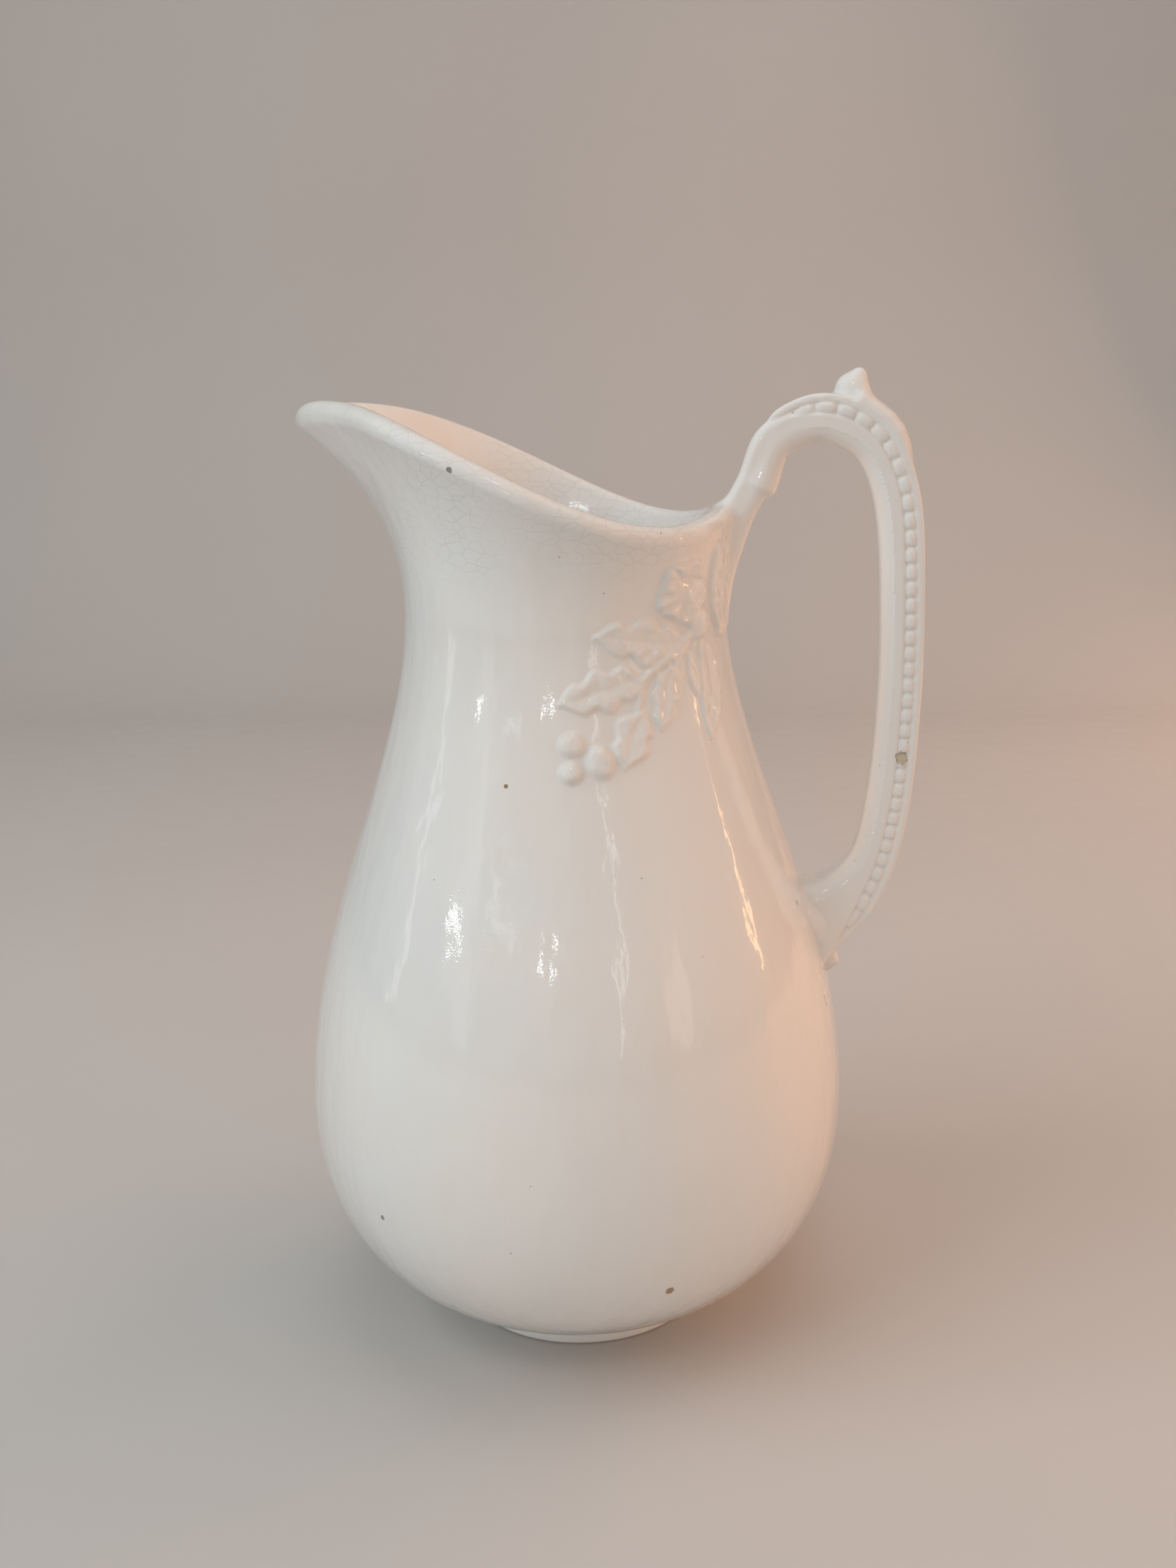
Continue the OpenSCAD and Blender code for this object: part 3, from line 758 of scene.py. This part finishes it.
# Chips and pinholes in the glaze: place, radius and colour
GREY_CHIP, BROWN_CHIP = (0.30, 0.29, 0.27, 1), (0.42, 0.27, 0.14, 1)
PALE_CHIP, DARK_PIN = (0.62, 0.55, 0.42, 1), (0.07, 0.06, 0.05, 1)
BODY_MARKS = [((-22.4, -55.7, 259.9), 0.9, GREY_CHIP), ((31.6, -68.8, 38.0), 1.5, BROWN_CHIP),
              ((-11.2, -53.8, 177.3), 0.7, BROWN_CHIP), ((30.1, -43.2, 242.4), 0.35, DARK_PIN),
              ((-49.0, -64.1, 55.1), 0.8, GREY_CHIP), ((-30.8, -60.6, 25.5), 0.6, GREY_CHIP)]
HANDLE_MARKS = [((97.7, -6.9, 174.3), 2.1, PALE_CHIP), ((65.3, -6.0, 272.1), 0.4, DARK_PIN),
                ((97.6, -6.2, 255.9), 0.35, DARK_PIN)]


def speck_mask(g, where):
    """Iron specks: a small dot in about two thirds of the cells."""
    cells = g.add("ShaderNodeTexVoronoi", {"Vector": where, "Scale": 115.0, "Randomness": 1.0})
    chance = g.add("ShaderNodeSeparateColor", {"Color": cells.outputs["Color"]}).outputs[0]
    dots = g.ramp(cells.outputs["Distance"], 0.03, 0.014)
    return g.maths("MULTIPLY", g.maths("GREATER_THAN", chance, 0.35), dots)


def crack_mask(g, where, cloud):
    """Fine crazing, in patches near the rim."""
    warped = g.add("ShaderNodeVectorMath", {0: where, 1: (1.0, 1.0, 1.6)}, operation="MULTIPLY")
    lines = g.add("ShaderNodeTexVoronoi", {"Vector": warped.outputs[0], "Scale": 210.0},
                  feature="DISTANCE_TO_EDGE").outputs["Distance"]
    up = g.add("ShaderNodeSeparateXYZ", {"Vector": where}).outputs["Z"]
    zone = g.maths("MULTIPLY", g.ramp(up, 0.215, 0.24), g.ramp(cloud, 0.42, 0.6))
    return g.maths("MULTIPLY", g.ramp(lines, 0.03, 0.008), zone)


def mark_mask(g, where, centre, radius):
    """A ragged round spot where the glaze has come off."""
    apart = g.add("ShaderNodeVectorMath", {0: where, 1: [c * MM for c in centre]},
                  operation="DISTANCE").outputs["Value"]
    uneven = g.maths("MULTIPLY", g.maths("SUBTRACT", g.noise(where, 900), 0.5), radius * MM)
    return g.ramp(g.maths("ADD", apart, uneven), radius * MM, radius * MM * 0.75)


def bare_mask(g, where, patch):
    """The lowest edge of the foot, where the glaze was wiped off before firing."""
    up = g.add("ShaderNodeSeparateXYZ", {"Vector": where}).outputs["Z"]
    uneven = g.maths("MULTIPLY", g.maths("SUBTRACT", patch, 0.5), 0.0016)
    return g.ramp(g.maths("ADD", up, uneven), 0.0008, 0.0003)


def glaze(name, marks=(), tint=(0.80, 0.785, 0.745, 1), waves=0.001, ripples=0.00008, bare_foot=False,
          crazed=False):
    """Clear thick glaze over white clay. waves and ripples are heights in metres."""
    g = Nodes(name)
    where = g.add("ShaderNodeTexCoord", {}).outputs["Object"]
    cloud = g.noise(where, 14, 3)
    patch = g.noise(where, 70, 3, 0.6)
    grain = g.noise(where, 1500, 2)
    cool, warm = (0.765, 0.775, 0.755, 1), (0.80, 0.745, 0.655, 1)
    iron, stained = (0.20, 0.16, 0.12, 1), (0.60, 0.53, 0.44, 1)
    pale_clay, dark_clay = (0.66, 0.58, 0.46, 1), (0.50, 0.42, 0.31, 1)

    colour = g.mix(g.ramp(cloud, 0.35, 0.68), tint, cool)
    colour = g.mix(g.maths("MULTIPLY", g.ramp(patch, 0.4, 0.9), 0.3), colour, warm)
    rough = g.ramp(patch, 0.3, 0.7, 0.2, 0.26)
    specks = speck_mask(g, where)
    colour = g.mix(g.maths("MULTIPLY", specks, 0.75), colour, iron)
    height = g.maths("MULTIPLY", specks, -0.3)
    if crazed:
        crack = crack_mask(g, where, cloud)
        colour = g.mix(g.maths("MULTIPLY", crack, 0.2), colour, stained)
        height = g.maths("SUBTRACT", height, g.maths("MULTIPLY", crack, 0.15))
    for centre, radius, shade in marks:
        hit = mark_mask(g, where, centre, radius)
        darker = [c * 0.6 for c in shade[:3]] + [1]
        colour = g.mix(hit, colour, g.mix(grain, shade, darker))
        rough = g.maths("ADD", rough, g.maths("MULTIPLY", hit, 0.4))
        height = g.maths("SUBTRACT", height, hit)
    if bare_foot:
        bare = bare_mask(g, where, patch)
        colour = g.mix(bare, colour, g.mix(grain, pale_clay, dark_clay))
        rough = g.maths("ADD", rough, g.maths("MULTIPLY", bare, 0.5))

    flowed = g.add("ShaderNodeVectorMath", {0: where, 1: (1.0, 1.0, 0.28)}, operation="MULTIPLY")
    wave = g.bump(g.noise(flowed.outputs[0], 60, 2.5, 0.5), waves)
    ripple = g.bump(g.noise(flowed.outputs[0], 260, 2, 0.5), ripples, wave)
    fine = g.bump(grain, 0.000012, ripple)
    pitted = g.bump(height, 0.0003, fine)
    shader = g.shader
    g.put(shader.inputs["Base Color"], colour)
    g.put(shader.inputs["Roughness"], rough)
    g.put(shader.inputs["Normal"], pitted)
    g.put(shader.inputs["Coat Normal"], pitted)
    shader.inputs["IOR"].default_value = 1.5
    shader.inputs["Coat Weight"].default_value = 1.0
    shader.inputs["Coat Roughness"].default_value = 0.015
    shader.inputs["Coat IOR"].default_value = 1.55
    return g.material


def finish_piece(obj, material, node):
    """Gives a piece its material, says what it rides on and hides the CAD node it stands for."""
    obj.data.materials.append(material)
    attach(obj, "root")
    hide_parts(node)


body_glaze = glaze("Body glaze", BODY_MARKS, crazed=True)
foot_glaze = glaze("Foot glaze", tint=(0.79, 0.77, 0.72, 1), bare_foot=True)
handle_glaze = glaze("Handle glaze", HANDLE_MARKS, tint=(0.80, 0.79, 0.755, 1), waves=0.0003)
relief_glaze = glaze("Relief glaze", tint=(0.795, 0.775, 0.73, 1), waves=0.0003, ripples=0.0003)

finish_piece(make_body(), body_glaze, "body_shell")
finish_piece(make_foot(), foot_glaze, "foot_ring")
for name, piece in make_handle().items():
    finish_piece(piece, handle_glaze, name.lower())
for name, piece in make_relief().items():
    finish_piece(piece, relief_glaze, name.lower())


# ---- Studio ----

def make_floor():
    """A pale floor that curves up into a backdrop."""
    half, front, back, bend, top = 9, -9, 0.95, 0.5, 3.2
    profile = [(front, 0.0)]
    profile += [(back + bend * sin(t), bend - bend * cos(t)) for t in np.linspace(0, pi / 2, 24)]
    profile += [(back + bend, top)]
    verts = [(x / MM, y / MM, z / MM) for y, z in profile for x in (-half, half)]
    faces = [(2 * i, 2 * i + 1, 2 * i + 3, 2 * i + 2) for i in range(len(profile) - 1)]
    floor = new_object("Studio_floor", verts, faces)
    g = Nodes("Pale floor")
    where = g.add("ShaderNodeTexCoord", {}).outputs["Object"]
    tone = g.mix(g.noise(where, 3.0, 4), (0.50, 0.49, 0.475, 1), (0.54, 0.53, 0.51, 1))
    g.put(g.shader.inputs["Base Color"], tone)
    g.put(g.shader.inputs["Roughness"], g.ramp(g.noise(where, 40), 0.3, 0.7, 0.42, 0.52))
    floor.data.materials.append(g.material)


def area_light(name, place, width, height, power, colour, mirrored=False, aim=(0, 0, 0.15)):
    """A rectangular lamp. Only the mirrored ones show as highlights in the glaze."""
    light = bpy.data.lights.new(name, "AREA")
    light.shape = "RECTANGLE"
    light.size, light.size_y = width, height
    light.energy = power
    light.color = colour
    obj = bpy.data.objects.new(name, light)
    obj.location = place
    obj.rotation_euler = (Vector(aim) - Vector(place)).to_track_quat("-Z", "Y").to_euler()
    obj.visible_camera = False
    obj.visible_glossy = mirrored
    bpy.context.collection.objects.link(obj)


def make_lights():
    """Large soft lamps for light and shade, and small ones for the window and lamp reflections."""
    cool, day, warm, amber = (0.90, 0.96, 1.0), (1.0, 0.99, 0.97), (1.0, 0.52, 0.30), (1.0, 0.55, 0.25)
    area_light("Key", (-1.35, -0.8, 1.3), 1.6, 1.6, 20.5, cool)
    area_light("Overhead", (0.1, 0.1, 1.5), 1.2, 1.0, 5, day)
    area_light("Warm side", (1.0, 0.6, 0.45), 1.1, 1.1, 10, warm, aim=(0.02, 0, 0.16))
    area_light("Warm fill", (1.5, -0.6, 0.7), 1.4, 1.2, 8, warm)
    area_light("Front low", (-0.3, -1.6, 0.3), 1.2, 0.5, 2.0, day)
    area_light("Window left", (-1.2, -0.93, 0.48), 0.17, 0.03, 0.24, cool, True)
    area_light("Window right", (-0.15, -1.5, 0.53), 0.15, 0.03, 0.22, cool, True)
    area_light("Window top", (-0.75, -1.3, 0.58), 0.3, 0.03, 0.05, cool, True)
    area_light("Curtain left", (-1.45, -0.3, 0.45), 0.1, 0.7, 0.25, cool, True)
    area_light("Curtain middle", (-1.05, -1.05, 0.55), 0.16, 0.9, 0.2, cool, True)
    area_light("Door frame", (0.65, -1.37, 0.45), 0.04, 0.6, 0.18, day, True)
    area_light("Door", (1.22, -0.93, 0.3), 0.2, 0.4, 0.2, (1.0, 0.85, 0.75), True)
    area_light("Lamp", (1.5, 0.22, 0.28), 0.05, 0.3, 0.4, amber, True)
    area_light("High window", (0.1, -1.2, 1.6), 0.3, 0.14, 0.7, cool, True)
    world = bpy.data.worlds.new("Studio air")
    world.use_nodes = True
    world.node_tree.nodes["Background"].inputs["Color"].default_value = (0.60, 0.59, 0.58, 1)
    world.node_tree.nodes["Background"].inputs["Strength"].default_value = 0.45
    bpy.context.scene.world = world


def make_camera():
    """The photograph's own viewing place, direction and tilt."""
    bearing, down, roll = radians(-5.59), radians(13.54), radians(-1.31)
    forward = Vector((sin(bearing) * cos(down), cos(bearing) * cos(down), -sin(down)))
    level_right = forward.cross(Vector((0, 0, 1))).normalized()
    level_up = level_right.cross(forward)
    right = cos(roll) * level_right + sin(roll) * level_up
    up = cos(roll) * level_up - sin(roll) * level_right
    camera = bpy.data.objects.new("Camera", bpy.data.cameras.new("Camera"))
    camera.data.lens = 34
    camera.data.sensor_width = 36
    camera.data.clip_start = 0.01
    turn = Matrix((right, up, -forward)).transposed().to_4x4()
    camera.matrix_world = Matrix.Translation((0.0478, -0.4326, 0.2696)) @ turn
    bpy.context.collection.objects.link(camera)
    bpy.context.scene.camera = camera


make_floor()
make_lights()
make_camera()
bpy.context.scene.view_settings.view_transform = "Standard"
